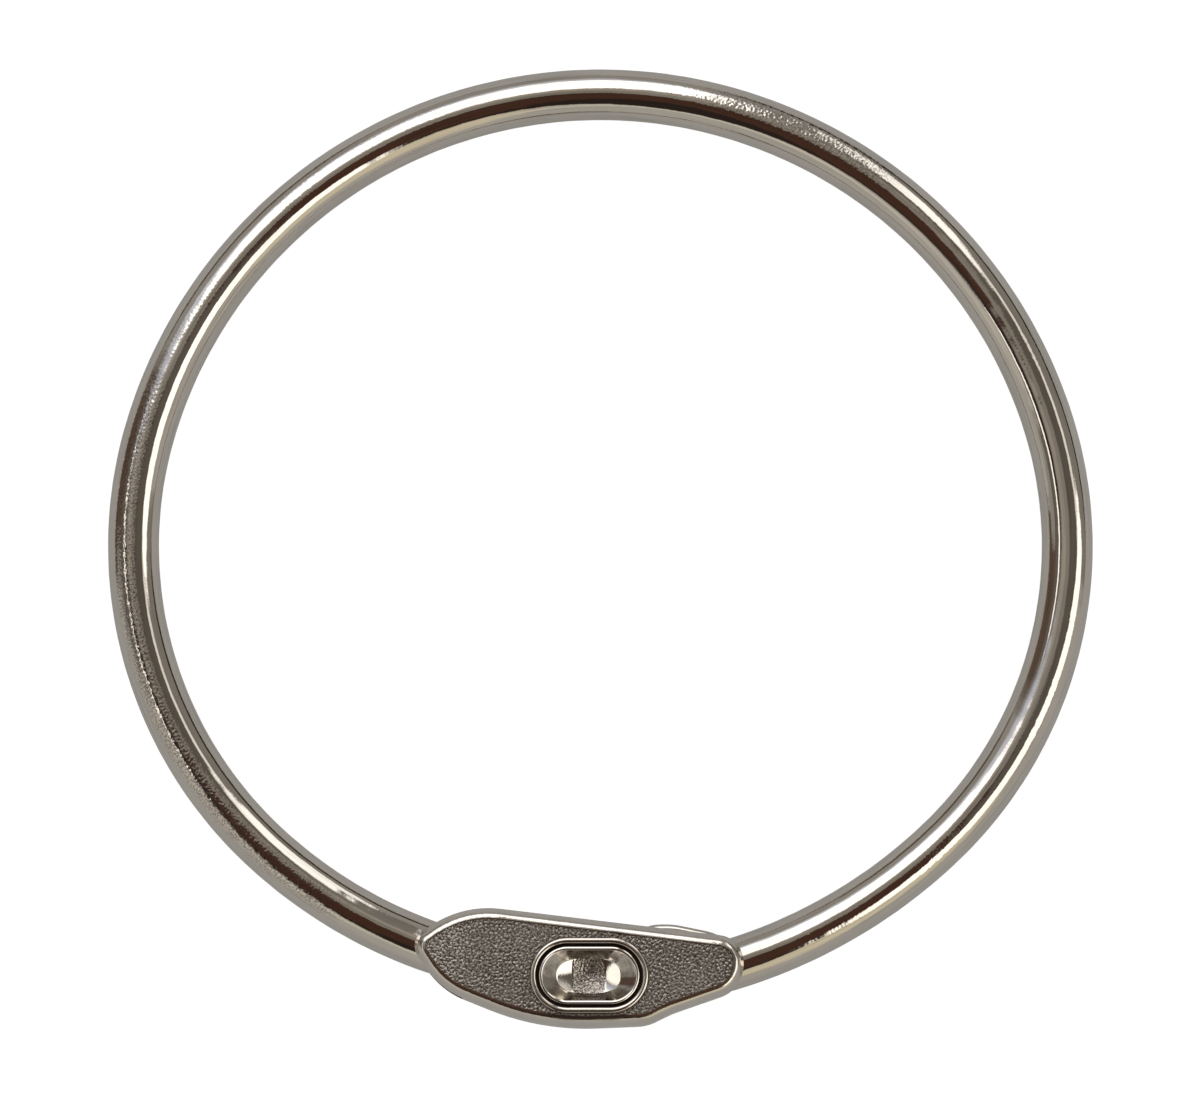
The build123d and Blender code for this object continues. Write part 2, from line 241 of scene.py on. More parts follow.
def fan(ring, tip, columns, outwards):
    """Corners of the triangles that close a ring of points to one tip."""
    column = np.arange(columns)
    corners = np.column_stack((ring + column, ring + (column + 1) % columns, np.full(columns, tip)))
    return corners if outwards else corners[:, ::-1]


def closed_tube(rings):
    """Points and faces of a stack of closed rings, its two ends drawn in to their own centres."""
    rows, columns = rings.shape[:2]
    tips = rings[[0, -1]].mean(axis=1)
    points = np.concatenate((rings.reshape(-1, 3), tips))
    faces = lattice(rows, columns).tolist()
    faces += fan(0, rows * columns, columns, False).tolist()
    faces += fan((rows - 1) * columns, rows * columns + 1, columns, True).tolist()
    return points, faces


def joined(*parts):
    """Several lots of points and faces as one lot."""
    points, faces = [], []
    for part_points, part_faces in parts:
        first = sum(len(lot) for lot in points)
        faces += [[first + corner for corner in face] for face in part_faces]
        points.append(part_points)
    return np.concatenate(points), faces


def merged_node(name):
    """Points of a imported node, each kept once to the nearest micron, and the corners of its triangles."""
    mesh = frame["nodes"][name].data
    points = np.zeros(len(mesh.vertices) * 3, np.float32)
    mesh.vertices.foreach_get("co", points)
    points = points.reshape(-1, 3).astype(float)
    corners = np.zeros(len(mesh.polygons) * 3, np.int32)
    mesh.polygons.foreach_get("vertices", corners)
    _, first, same = np.unique(np.round(points / MICRON), axis=0, return_index=True, return_inverse=True)
    return points[first], same.ravel()[corners].reshape(-1, 3)


def piece(name, points, faces, material):
    """A smooth mesh object with its sharp edges kept."""
    mesh = bpy.data.meshes.new(name)
    mesh.from_pydata(points, [], faces)
    mesh.shade_smooth()
    mesh.set_sharp_from_angle(angle=SHARP)
    mesh.materials.append(material)
    thing = bpy.data.objects.new(name, mesh)
    bpy.context.scene.collection.objects.link(thing)
    return thing


def store(thing, name, values):
    """Keep a number or a vector for every point of a piece, for its material to read."""
    kind, field = ("FLOAT", "value") if values.ndim == 1 else ("FLOAT_VECTOR", "vector")
    thing.data.attributes.new(name, kind, "POINT").data.foreach_set(field, values.ravel())


# Wire hoop

TAIL_STEP = 0.08 * MM
ARC_STEP = 0.35 * MM
WIRE_COLUMNS = 72
TIP_ROWS = 24
EYE_COLUMNS = 96
EYE_EDGE = 0.15 * MM
EYE_EDGE_ROWS = 12
RIPPLE_LENGTH = 10 * MM
# waves in that length, turns round the wire, and lag
RIPPLE_WAVES = ((0.9, 1, 0.3), (1.7, -2, 1.9), (2.6, 1, 4.0), (3.9, 3, 2.2), (5.3, -1, 5.1))
STRAIGHT_NAME = "straight_wire"


def tail_circle(joint, inwards, target):
    """Centre of the circle that leaves a joint square to the inward line and passes through a target.

    Its radius is the squared distance to the target over twice the part of that distance that points inwards.
    """
    reach = target - joint
    return joint + inwards * (reach @ reach / (2 * (reach @ inwards)))


def arc(centre, start, end, radius, step):
    """Points and headings along an arc, at even steps: the centre plus the radius at a turning angle."""
    count = math.ceil((end - start) * radius / step)
    turn = np.linspace(start, end, count, endpoint=False)
    points = centre + radius * np.column_stack((np.cos(turn), np.sin(turn)))
    return points, np.column_stack((-np.sin(turn), np.cos(turn)))


def mid_line(hoop, tip, eye):
    """Mid-line of the wire from the free end round to the eye: two side arcs, a top arc and two tangent tails."""
    shift = np.array(((hoop.outer_width - hoop.wire) / 2 - hoop.side_radius, 0))
    join, end, radius = hoop.join_angle, hoop.end_angle, hoop.side_radius
    top_radius = radius + shift[0] / math.cos(join)
    top_centre = np.array((0, -(top_radius - radius) * math.sin(join)))
    right_turn = np.array((math.cos(-end), math.sin(-end)))
    left_turn = right_turn * (-1, 1)
    right_joint, left_joint = shift + radius * right_turn, -shift + radius * left_turn
    right_tail = tail_circle(right_joint, -right_turn, tip)
    left_tail = tail_circle(left_joint, -left_turn, eye)
    tip_turn = math.atan2(*(tip - right_tail)[::-1])
    eye_turn = math.atan2(*(eye - left_tail)[::-1]) % TURN
    lines = (
        arc(right_tail, tip_turn, -end, np.linalg.norm(tip - right_tail), TAIL_STEP),
        arc(shift, -end, join, radius, ARC_STEP),
        arc(top_centre, join, math.pi - join, top_radius, ARC_STEP),
        arc(-shift, math.pi - join, math.pi + end, radius, ARC_STEP),
        arc(left_tail, math.pi + end, eye_turn, np.linalg.norm(eye - left_tail), TAIL_STEP),
    )
    return [np.concatenate(rows) for rows in zip(*lines)]


def ripples(along, around, height):
    """Slow waves on the wire: five sines with their own counts along the hoop and round the wire, added up."""
    run = along / RIPPLE_LENGTH * TURN
    return height * sum(np.sin(run * pace + turns * around + lag) for pace, turns, lag in RIPPLE_WAVES)


def wire_points(hoop):
    """A round section carried along the mid-line, with flats at both ends, a round tip and a catch pocket.

    A point is the mid-line plus the wire's radius times the cosine of its angle across and its sine upwards. The
    height is then held between the flats, and the pocket's points are lifted to the pocket's floor. With the points
    come the places that they would have on the wire before it was bent.
    """
    radius = hoop.wire / 2
    button = np.array(BUTTON[:2])
    tip = button + (hoop.tip_reach + radius, 0)
    line, heading = mid_line(hoop, tip, np.array(PIVOT[:2]))
    along = np.concatenate(([0], np.cumsum(np.linalg.norm(np.diff(line, axis=0), axis=1))))
    eye_middle = (hoop.eye_diameter / 2 + hoop.eye_bore / 2) / 2
    keep = np.linalg.norm(line - PIVOT[:2], axis=1) > eye_middle
    line, heading, along = line[keep], heading[keep], along[keep]
    swell = np.linspace(0, math.pi / 2, TIP_ROWS, endpoint=False)[1:]
    round_end = line[0] - radius * np.cos(swell)[:, None] * heading[0]
    line = np.concatenate((round_end, line))
    heading = np.concatenate((np.repeat(heading[:1], len(swell), axis=0), heading))
    along = np.concatenate((-radius * np.cos(swell), along))
    girth = np.concatenate((radius * np.sin(swell), np.full(len(line) - len(swell), radius)))
    around = np.linspace(0, TURN, WIRE_COLUMNS, endpoint=False)
    girth = girth[:, None] + ripples(along[:, None], around, hoop.ripple)
    across = np.column_stack((-heading[:, 1], heading[:, 0]))
    flat = np.where(along < hoop.tongue_length - radius, hoop.tongue_thickness / 2, hoop.wire)
    flat = np.where(np.linalg.norm(line - PIVOT[:2], axis=1) < hoop.eye_room, hoop.eye_thickness / 2, flat)
    sideways = girth * np.cos(around)
    spots = line[:, None] + sideways[..., None] * across[:, None]
    height = np.clip(girth * np.sin(around), -flat[:, None], flat[:, None])
    from_start = spots[..., 0] - button[0] - hoop.pocket_start
    pocket = (from_start > 0) & (from_start < hoop.pocket_length) & (height < -hoop.pocket_floor)
    pocket &= np.abs(spots[..., 1] - button[1]) < hoop.pocket_width / 2
    height = np.where(pocket, -hoop.pocket_floor, height)
    length_along = np.broadcast_to(along[:, None], height.shape)
    straight = np.dstack((length_along, sideways, girth * np.sin(around)))
    return np.dstack((spots, height)), straight


def eye_points(hoop):
    """The coined eye: a flat ring, as a profile of bore, faces and rounded rim turned about the pin."""
    outer, bore, half = hoop.eye_diameter / 2, hoop.eye_bore / 2, hoop.eye_thickness / 2
    bend = np.linspace(-math.pi / 2, math.pi / 2, EYE_EDGE_ROWS)
    rim = outer - EYE_EDGE + EYE_EDGE * np.cos(bend)
    rise = np.sign(bend) * (half - EYE_EDGE) + EYE_EDGE * np.sin(bend)
    radii = np.concatenate(([bore], rim, [bore]))
    heights = np.concatenate(([-half], rise, [half]))
    turn = np.linspace(0, TURN, EYE_COLUMNS, endpoint=False)
    spots = radii[:, None, None] * np.column_stack((np.cos(turn), np.sin(turn))) + PIVOT[:2]
    rings = np.dstack((spots, np.repeat(heights[:, None], EYE_COLUMNS, axis=1)))
    rows = len(radii)
    faces = lattice(rows, EYE_COLUMNS)
    last = (rows - 1) * EYE_COLUMNS
    column = np.arange(EYE_COLUMNS)
    beside = (column + 1) % EYE_COLUMNS
    bore_wall = np.column_stack((last + column, last + beside, beside, column))
    return rings.reshape(-1, 3), np.concatenate((faces, bore_wall)).tolist()


class BINDERRING_OT_hoop(bpy.types.Operator):
    """Bend the polished wire hoop, with its eye and its flatted free end"""

    bl_idname = "binder_ring.hoop"
    bl_label = "Wire hoop"

    def execute(self, context):
        hoop = context.scene.binder_ring.hoop
        rings, straight = wire_points(hoop)
        eye = eye_points(hoop)
        points, faces = joined(closed_tube(rings), eye)
        ring = piece("wire_hoop", points, faces, wire_nickel(hoop))
        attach(ring, "hoop")
        store(ring, STRAIGHT_NAME, np.concatenate((closed_tube(straight)[0], eye[0])))
        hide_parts("hoop")
        return {"FINISHED"}


# Push button

OVAL_END_COLUMNS = 48
OVAL_SIDE_COLUMNS = 24
RIM_ROWS = 61
RIM_SLOPES = (90, -50)
FLANK_SLOPES = (9, 27)
WALL_ROWS = 16
FLOOR_ROWS = 40
FLOOR_POWER = 2.6


def oval_steps():
    """Steps round an oval: where each lies on its straight middle, from -1 to 1, and which way it faces."""
    end = np.linspace(-math.pi / 2, math.pi / 2, OVAL_END_COLUMNS, endpoint=False)
    side = np.linspace(1, -1, OVAL_SIDE_COLUMNS, endpoint=False)
    place = np.concatenate((np.ones(OVAL_END_COLUMNS), side, -np.ones(OVAL_END_COLUMNS), -side))
    up = np.full(OVAL_SIDE_COLUMNS, math.pi / 2)
    return place, np.concatenate((end, up, end + math.pi, up + math.pi))


def ovals(long_sides, short_sides, heights):
    """Level ovals about the button's centre: a straight middle with a half circle at each end."""
    place, facing = oval_steps()
    radius = np.asarray(short_sides)[:, None] / 2
    reach = np.asarray(long_sides)[:, None] / 2 - radius
    x = BUTTON.x + reach * place + radius * np.cos(facing)
    y = BUTTON.y + radius * np.sin(facing)
    return np.dstack((x, y, np.broadcast_to(np.asarray(heights)[:, None], x.shape)))


def rim_bead(button):
    """Insets and drops of the rim's low bead, from the stem over its crest to the mouth of the dish.

    The slope turns at an even rate from upright over level to the inner side. Each step goes on by the local radius
    times the turn, along the cosine of the slope inwards and its sine upwards, and the flanks have a wider radius.
    """
    slope = np.radians(np.linspace(*RIM_SLOPES, RIM_ROWS))
    turn = slope[0] - slope[1]
    gentle, steep = np.radians(FLANK_SLOPES)
    flank = (np.abs(slope) > gentle) & (np.abs(slope) < steep)
    radius = np.where(flank, button.rim_flank, button.rim_edge)
    inset = np.cumsum(radius * turn * np.cos(slope))
    rise = np.cumsum(radius * turn * np.sin(slope))
    return inset, rise.max() - rise


def button_shell(button, top, flange):
    """Flange, stem and rim of the button, as ovals from below upwards."""
    inset, drop = rim_bead(button)
    low = button.flange_top - button.flange_thickness
    insets = np.concatenate(([0], inset))
    longs = np.concatenate(([flange.x, flange.x], button.long_side - 2 * insets))
    shorts = np.concatenate(([flange.y, flange.y], button.short_side - 2 * insets))
    return ovals(longs, shorts, np.concatenate(([low, button.flange_top, button.flange_top], top - drop)))


def dish(button, top):
    """The dish: straight walls from the mouth down to the edge of a round floor.

    The floor's edge is an oval whose two offsets, in half lengths and half widths, have powers that add up to 1. The
    floor's height is a hyperbola of the distance from its middle, so that it runs out to an even slope. A wall point
    is a share of the way from the mouth to that edge, and a floor point a share of the way from there to the middle.
    """
    inset, drop = rim_bead(button)
    sides = np.array((button.long_side, button.short_side)) - 2 * inset[-1]
    middle_spot = np.array(BUTTON[:2])
    mouth = ovals(sides[:1], sides[1:], [top - drop[-1]])[0]
    heading = (mouth[:, :2] - middle_spot) / sides
    reach = (np.abs(heading) ** FLOOR_POWER).sum(1) ** (-1 / FLOOR_POWER)
    edge = heading * reach[:, None] * (button.floor_long, button.floor_short) / 2
    inwards = np.linspace(1, 0, FLOOR_ROWS, endpoint=False)[:, None, None]
    spots = inwards * edge
    rise = button.floor_slope * (np.sqrt((spots**2).sum(2) + button.floor_bend**2) - button.floor_bend)
    floor = np.dstack((spots + middle_spot, top - button.dish_depth + rise))
    down = np.linspace(0, 1, WALL_ROWS, endpoint=False)[1:, None, None]
    return np.concatenate((mouth + down * (floor[0] - mouth), floor))


def foot_points(button, low):
    """The foot under the button: a block between the flange and the leaf spring."""
    left, right = -button.foot_left * button.long_side, button.foot_right * button.long_side
    half = button.foot_width / 2
    corners = np.array(((left, -half), (right, -half), (right, half), (left, half))) + BUTTON[:2]
    heights = (low, button.flange_top - button.flange_thickness / 2)
    rings = np.stack([np.column_stack((corners, np.full(4, height))) for height in heights])
    return closed_tube(rings)


class BINDERRING_OT_button(bpy.types.Operator):
    """Turn out the oval push button with its polished dish"""

    bl_idname = "binder_ring.button"
    bl_label = "Push button"

    def execute(self, context):
        button = context.scene.binder_ring.button
        low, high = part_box("push_button")
        nickel = button_nickel(button, high.z)
        shell = np.concatenate((button_shell(button, high.z, extent("push_button")), dish(button, high.z)))
        points, faces = joined(closed_tube(shell), foot_points(button, low.z))
        oval = piece("dished_button", points, faces, nickel)
        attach(oval, "button")
        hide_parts("push_button")
        return {"FINISHED"}


# Clasp

LEVEL_TOLERANCE = 2 * MICRON
EDGE_NAME = "edge_distance"
GRAIN_NAME = "grain_height"


def panel_edges(panel_height):
    """Outer edges of the sunk panel, read from the clasp: the sides that only one triangle at that height has."""
    points, corners = merged_node("clasp_body")
    flat = np.all(np.abs(points[corners, 2] - panel_height) < LEVEL_TOLERANCE, axis=1)
    sides = corners[flat][:, ((0, 1), (1, 2), (2, 0))].reshape(-1, 2)
    pairs, count = np.unique(np.sort(sides, axis=1), axis=0, return_counts=True)
    return points[pairs[count == 1], :2]


def beside_edges(x, y, edges):
    """Which points lie on the panel, and how far each is from its edges.

    A point is inside where a line to the right crosses the edges an odd number of times.
    """
    inside = np.zeros(x.shape, bool)
    nearest = np.full(x.shape, np.inf)
    for (x0, y0), (x1, y1) in edges:
        if y0 != y1:
            crossing = x0 + (y - y0) * (x1 - x0) / (y1 - y0)
            inside ^= ((y0 > y) != (y1 > y)) & (crossing > x)
        reach = max((x1 - x0) ** 2 + (y1 - y0) ** 2, np.finfo(float).tiny)
        share = np.clip(((x - x0) * (x1 - x0) + (y - y0) * (y1 - y0)) / reach, 0, 1)
        nearest = np.minimum(nearest, np.hypot(x - x0 - share * (x1 - x0), y - y0 - share * (y1 - y0)))
    return inside, nearest


def sand_grain(shape, pitch, size, seed):
    """Fine bumps of one size: random heights blurred to that size, less the same blurred twice as far.

    Both blurs are Gaussians, applied to the spectrum of the random heights. The result has a spread of 1.
    """
    noise = np.fft.fft2(np.random.default_rng(seed).standard_normal(shape))
    pace = np.hypot(*np.meshgrid(*(np.fft.fftfreq(count, pitch) for count in shape), indexing="ij"))
    fine, coarse = (np.exp(-2 * (math.pi * pace * size * reach) ** 2) for reach in (1, 2))
    height = np.fft.ifft2(noise * (fine - coarse)).real
    return height / height.std()


def panel_points(clasp):
    """A height field on a square grid over the panel, its edges hidden under the rim and the collar."""
    low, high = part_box("clasp_body")
    panel_height = high.z - clasp.panel_drop
    x = np.arange(low.x, high.x, clasp.grain_pitch)
    y = np.arange(low.y, high.y, clasp.grain_pitch)
    x, y = np.meshgrid(x, y, indexing="ij")
    grain = sand_grain(x.shape, clasp.grain_pitch, clasp.grain_size, clasp.grain_seed)
    grain *= 1 + clasp.tip_grain * np.clip((PIVOT.x - x) / clasp.tip_length, 0, 1)
    height = panel_height + clasp.panel_lift + clasp.grain_height * grain
    height = np.maximum(height, panel_height + LEVEL_TOLERANCE)
    inside, distance = beside_edges(x, y, panel_edges(panel_height))
    used = inside | (distance < clasp.panel_lap)
    whole = used[:-1, :-1] & used[1:, :-1] & used[1:, 1:] & used[:-1, 1:]
    number = np.arange(x.size).reshape(x.shape)
    corners = (number[:-1, :-1], number[1:, :-1], number[1:, 1:], number[:-1, 1:])
    faces = np.stack(corners, axis=-1)[whole]
    kept, faces = np.unique(faces, return_inverse=True)
    points = np.dstack((x, y, height)).reshape(-1, 3)[kept]
    return points, faces.reshape(-1, 4).tolist(), distance.ravel()[kept], grain.ravel()[kept]


class BINDERRING_OT_clasp(bpy.types.Operator):
    """Plate the cast clasp and lay the sand grain on its sunk panel"""

    bl_idname = "binder_ring.clasp"
    bl_label = "Cast clasp"

    def execute(self, context):
        clasp, button = context.scene.binder_ring.clasp, context.scene.binder_ring.button
        plate(frame["nodes"]["clasp_body"], clasp_nickel(clasp, button))
        points, faces, distance, grain = panel_points(clasp)
        panel = piece("panel_grain", points, faces, sanded_nickel(clasp))
        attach(panel, "clasp")
        store(panel, EDGE_NAME, distance)
        store(panel, GRAIN_NAME, grain)
        return {"FINISHED"}


class BINDERRING_OT_catch(bpy.types.Operator):
    """Make a leaf spring from the catch, and finish the pin, the cover and its rivets"""

    bl_idname = "binder_ring.catch"
    bl_label = "Catch and cover"

    def execute(self, context):
        clasp, button = context.scene.binder_ring.clasp, context.scene.binder_ring.button
        points, corners = merged_node("spring_catch")
        spring = plain_metal("spring_steel", SPRING_TINT)
        leaf = piece("leaf_spring", points, corners.tolist(), spring)
        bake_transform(leaf)
        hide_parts("spring_catch")
        steel = plain_metal("pin_steel", STEEL_TINT)
        plate(frame["nodes"]["pivot_pin"], steel)
        plate(frame["nodes"]["cover_rivets"], steel)
        plate(frame["nodes"]["back_plate"], plain_metal("cover_nickel", clasp.tint))
        return {"FINISHED"}


# Materials

STEEL_TINT = (0.52, 0.51, 0.5)
SPRING_TINT = (0.4, 0.41, 0.43)
STEEL_ROUGHNESS = 0.25
# one dark tint and roughness for real soil on the die lines and the cast skin, and for painted shade in gaps,
# hollows, pits and creases
SOIL_AND_SHADE_TINT = (0.1, 0.068, 0.05)
SOIL_AND_SHADE_ROUGHNESS = 0.4
SKIN_ROUGHNESS = 0.32
SMEAR_SHADE = 0.94
SMEAR_ROUGHNESS = (0.9, 1.2)
SMEAR_FADE = (0.35, 0.7)
PEEL_DETAIL, SMEAR_DETAIL = 0, 4
MIX_FIRST, MIX_SECOND, MIX_COLOUR = 6, 7, 2

# face of each metal: size and height of its peel, and size of its smears
WIRE_FACE = (0.24 * MM, 14 * MICRON, 6 * MM)
BUTTON_FACE = (0.2 * MM, 60 * MICRON, 3 * MM)
CAST_FACE = (0.25 * MM, 3 * MICRON, 3 * MM)
SAND_FACE = (0.1 * MM, 6 * MICRON, 4 * MM)
SMALL_PART_FACE = (0.2 * MM, 4 * MICRON, 3 * MM)

# mottled marks: size, detail, and the values of the noise at which they start and are full; the die lines' size is
# counted in their own pace along and across the wire
LINE_PACE = (1 / (9 * MM), 1 / (0.16 * MM), 1 / (0.16 * MM))
DIE_LINES = (1, 2, 0.52, 0.72)
CRINKLES = (9 * MM, 1, 0.4, 0.6)
# dark specks on the worn crown: partly worn plate, partly painted dark reflection
WIRE_SPECKS = (0.17 * MM, 1, 0.45, 0.6)
SKIN_SPECKS = (0.11 * MM, 1, 0.42, 0.58)
# painted shade and brown reflection, mottled, down the dish walls
WALL_SHADE_PATCHES = (1.1 * MM, 2, 0.38, 0.68)

# how much of each mark shows, and with a second number, how much there is between the marks
DIE_LINE_SOIL = 0.22
CRINKLE_SHARE = 0.5
# worn plate and painted dark reflection in the wire's specks
WIRE_SPECK_WEAR_AND_SHADE = 0.5
SKIN_SPECK_SOIL = (0.55, 0.3)
# painted shade and brown reflection on the dish walls
WALL_PAINTED_SHADE = (0.55, 0.2)
# painted shade in the pits of the grain
PIT_PAINTED_SHADE = 0.75
LEAST_WIRE_PEEL = 0.12
LEAST_BUTTON_PEEL = 0.02

# places on the wire, none and full: height and side in wire diameters, and the worn stretches from the free end
CROWN = (0.3, 0.44)
OUTSIDE = (0.14, 0)
WORN_STRETCHES = ((92 * MM, 105 * MM), (166 * MM, 214 * MM))
WORN_FADE = 4 * MM

# places about the button, none and full: distance from the straight middle of its oval, in button widths
# painted shade on the button's side, down in the gap to the collar
STEM_SIDE = (0.45, 0.49)
# painted shade on the clasp: down the hole of the button and at the outer foot of the collar
BUTTON_HOLE = (0.578, 0.556)
COLLAR_FOOT = (0.63, 0.665)
COLLAR_END = (0.8, 0.74)

# places on the button, none and full: side in button lengths, depth below the top in dish depths or as it is
SKIN_SIDE = (0.175, 0.145)
SKIN_DEPTH = (0.7, 0.8)
# the wall and mouth depths bound a band of painted shade and reflection down the dish walls; the stem depth bounds
# painted shade on the button's side
WALL_DEPTH = (0.55, 0.5)
STEM_DEPTH = (0.08 * MM, 0.25 * MM)
MOUTH_DEPTH = (0.06 * MM, 0.2 * MM)

# places on the panel, none and full: grain height in its own spread, and distance from the panel's edges
PITS = (1.2, -1.2)
# painted shade along the panel's edges, in the crease under the rim and the collar
PANEL_EDGE = (0.11 * MM, 0.02 * MM)


def plate(thing, material):
    """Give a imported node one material."""
    thing.data.materials.clear()
    thing.data.materials.append(material)


def group(name, inputs, outputs):
    """A new shader node group with named sockets, and its two ends."""
    tree = bpy.data.node_groups.new(name, "ShaderNodeTree")
    for label, kind in inputs:
        tree.interface.new_socket(label, in_out="INPUT", socket_type=kind)
    for label, kind in outputs:
        tree.interface.new_socket(label, in_out="OUTPUT", socket_type=kind)
    return tree, tree.nodes.new("NodeGroupInput"), tree.nodes.new("NodeGroupOutput")


def node(tree, kind, links=(), **values):
    """A node with its properties set and its inputs linked or filled in by name or number."""
    made = tree.nodes.new(kind)
    for key, value in values.items():
        setattr(made, key, value)
    for socket, value in links:
        if isinstance(value, bpy.types.NodeSocket):
            tree.links.new(value, made.inputs[socket])
        else:
            made.inputs[socket].default_value = value
    return made


def maths(tree, operation, *values):
    """The result of a maths node."""
    return node(tree, "ShaderNodeMath", enumerate(values), operation=operation).outputs[0]


def times(tree, *values):
    """Values multiplied together."""
    return functools.reduce(lambda first, second: maths(tree, "MULTIPLY", first, second), values)


def highest(tree, *values):
    """The highest of several values."""
    return functools.reduce(lambda first, second: maths(tree, "MAXIMUM", first, second), values)


def blend(tree, share, first, second):
    """One colour laid over another by a share."""
    links = ((0, share), (MIX_FIRST, first), (MIX_SECOND, second))
    return node(tree, "ShaderNodeMix", links, data_type="RGBA").outputs[MIX_COLOUR]


def noise(tree, vector, scale, detail):
    """The value of a noise texture."""
    links = (("Vector", vector), ("Scale", scale), ("Detail", detail))
    return node(tree, "ShaderNodeTexNoise", links).outputs["Fac"]


def fade(tree, value, none, full):
    """A value faded in between two limits: 0 at the first and 1 at the second, whichever is higher."""
    links = (("Value", value), ("From Min", none), ("From Max", full))
    return node(tree, "ShaderNodeMapRange", links, interpolation_type="SMOOTHSTEP").outputs["Result"]


def fade_over(tree, value, limits, unit):
    """A value faded in between two limits that are shares of a unit."""
    return fade(tree, value, *(unit * limit for limit in limits))


def mottle(tree, vector, size, detail, none, full):
    """Marks of one size: noise, faded in between two of its values."""
    return fade(tree, noise(tree, vector, 1 / size, detail), none, full)


def plate_marks():
    """Node group: the peel of plated metal as a height, and soft smears as a mask, both from noise."""
    if "plate_marks" in bpy.data.node_groups:
        return bpy.data.node_groups["plate_marks"]
    inputs = (("Vector", "NodeSocketVector"), ("Peel Scale", "NodeSocketFloat"), ("Smear Scale", "NodeSocketFloat"))
    outputs = (("Height", "NodeSocketFloat"), ("Smear", "NodeSocketFloat"))
    tree, start, end = group("plate_marks", inputs, outputs)
    peel = noise(tree, start.outputs["Vector"], start.outputs["Peel Scale"], PEEL_DETAIL)
    smear = noise(tree, start.outputs["Vector"], start.outputs["Smear Scale"], SMEAR_DETAIL)
    tree.links.new(peel, end.inputs["Height"])
    tree.links.new(fade(tree, smear, *SMEAR_FADE), end.inputs["Smear"])
    return tree


def oval_distance():
    """Node group: distance from the straight middle of an oval about the button, level with it.

    The length beyond the ends of that middle and the offset across it are the two sides of the distance.
    """
    if "oval_distance" in bpy.data.node_groups:
        return bpy.data.node_groups["oval_distance"]
    inputs = (("Vector", "NodeSocketVector"), ("Reach", "NodeSocketFloat"))
    tree, start, end = group("oval_distance", inputs, (("Distance", "NodeSocketFloat"),))
    links = ((0, start.outputs["Vector"]), (1, BUTTON))
    offset = node(tree, "ShaderNodeVectorMath", links, operation="SUBTRACT").outputs[0]
    sides = sides_of(tree, offset)
    beyond = maths(tree, "SUBTRACT", maths(tree, "ABSOLUTE", sides["X"]), start.outputs["Reach"])
    flat = node(tree, "ShaderNodeCombineXYZ", ((0, maths(tree, "MAXIMUM", beyond, 0)), (1, sides["Y"])))
    distance = node(tree, "ShaderNodeVectorMath", ((0, flat.outputs[0]),), operation="LENGTH").outputs["Value"]
    tree.links.new(distance, end.inputs["Distance"])
    return tree


def metal(name, tint, roughness, face, places):
    """A plated metal. Its colour and roughness drift with the smears, its face has a fine peel, and soil and painted
    shade darken and dull it.

    places gives, over the piece, how much of the peel shows, where soil and painted shade lie, and a least roughness.
    """
    peel_size, peel_height, smear_size = face
    material = bpy.data.materials.new(name)
    material.use_nodes = True
    tree = material.node_tree
    shader = tree.nodes["Principled BSDF"]
    shader.inputs["Metallic"].default_value = 1
    place = node(tree, "ShaderNodeTexCoord").outputs["Object"]
    peel, soil_and_shade, dull = places(tree, place)
    marks = node(tree, "ShaderNodeGroup", node_tree=plate_marks())
    tree.links.new(place, marks.inputs["Vector"])
    marks.inputs["Peel Scale"].default_value = 1 / peel_size
    marks.inputs["Smear Scale"].default_value = 1 / smear_size
    darker = [SMEAR_SHADE * part for part in tint]
    tone = blend(tree, marks.outputs["Smear"], (*tint, 1), (*darker, 1))
    # soil and painted shade darken the colour
    tree.links.new(blend(tree, soil_and_shade, tone, (*SOIL_AND_SHADE_TINT, 1)), shader.inputs["Base Color"])
    least, most = (share * roughness for share in SMEAR_ROUGHNESS)
    ends = (("Value", marks.outputs["Smear"]), ("To Min", least), ("To Max", most))
    rough = node(tree, "ShaderNodeMapRange", ends).outputs["Result"]
    rough = highest(tree, rough, times(tree, soil_and_shade, SOIL_AND_SHADE_ROUGHNESS), dull)
    tree.links.new(rough, shader.inputs["Roughness"])
    height = times(tree, marks.outputs["Height"], peel)
    bump = node(tree, "ShaderNodeBump", (("Height", height), ("Distance", peel_height)))
    tree.links.new(bump.outputs["Normal"], shader.inputs["Normal"])
    return material


def attribute(tree, name, output):
    """What a piece keeps for each of its points under a name."""
    return node(tree, "ShaderNodeAttribute", attribute_name=name).outputs[output]


def sides_of(tree, vector):
    """The three parts of a vector."""
    return node(tree, "ShaderNodeSeparateXYZ", ((0, vector),)).outputs


def oval_reach(tree, place, button):
    """Distance from the straight middle of the button's oval."""
    made = node(tree, "ShaderNodeGroup", node_tree=oval_distance())
    tree.links.new(place, made.inputs["Vector"])
    made.inputs["Reach"].default_value = (button.long_side - button.short_side) / 2
    return made.outputs["Distance"]


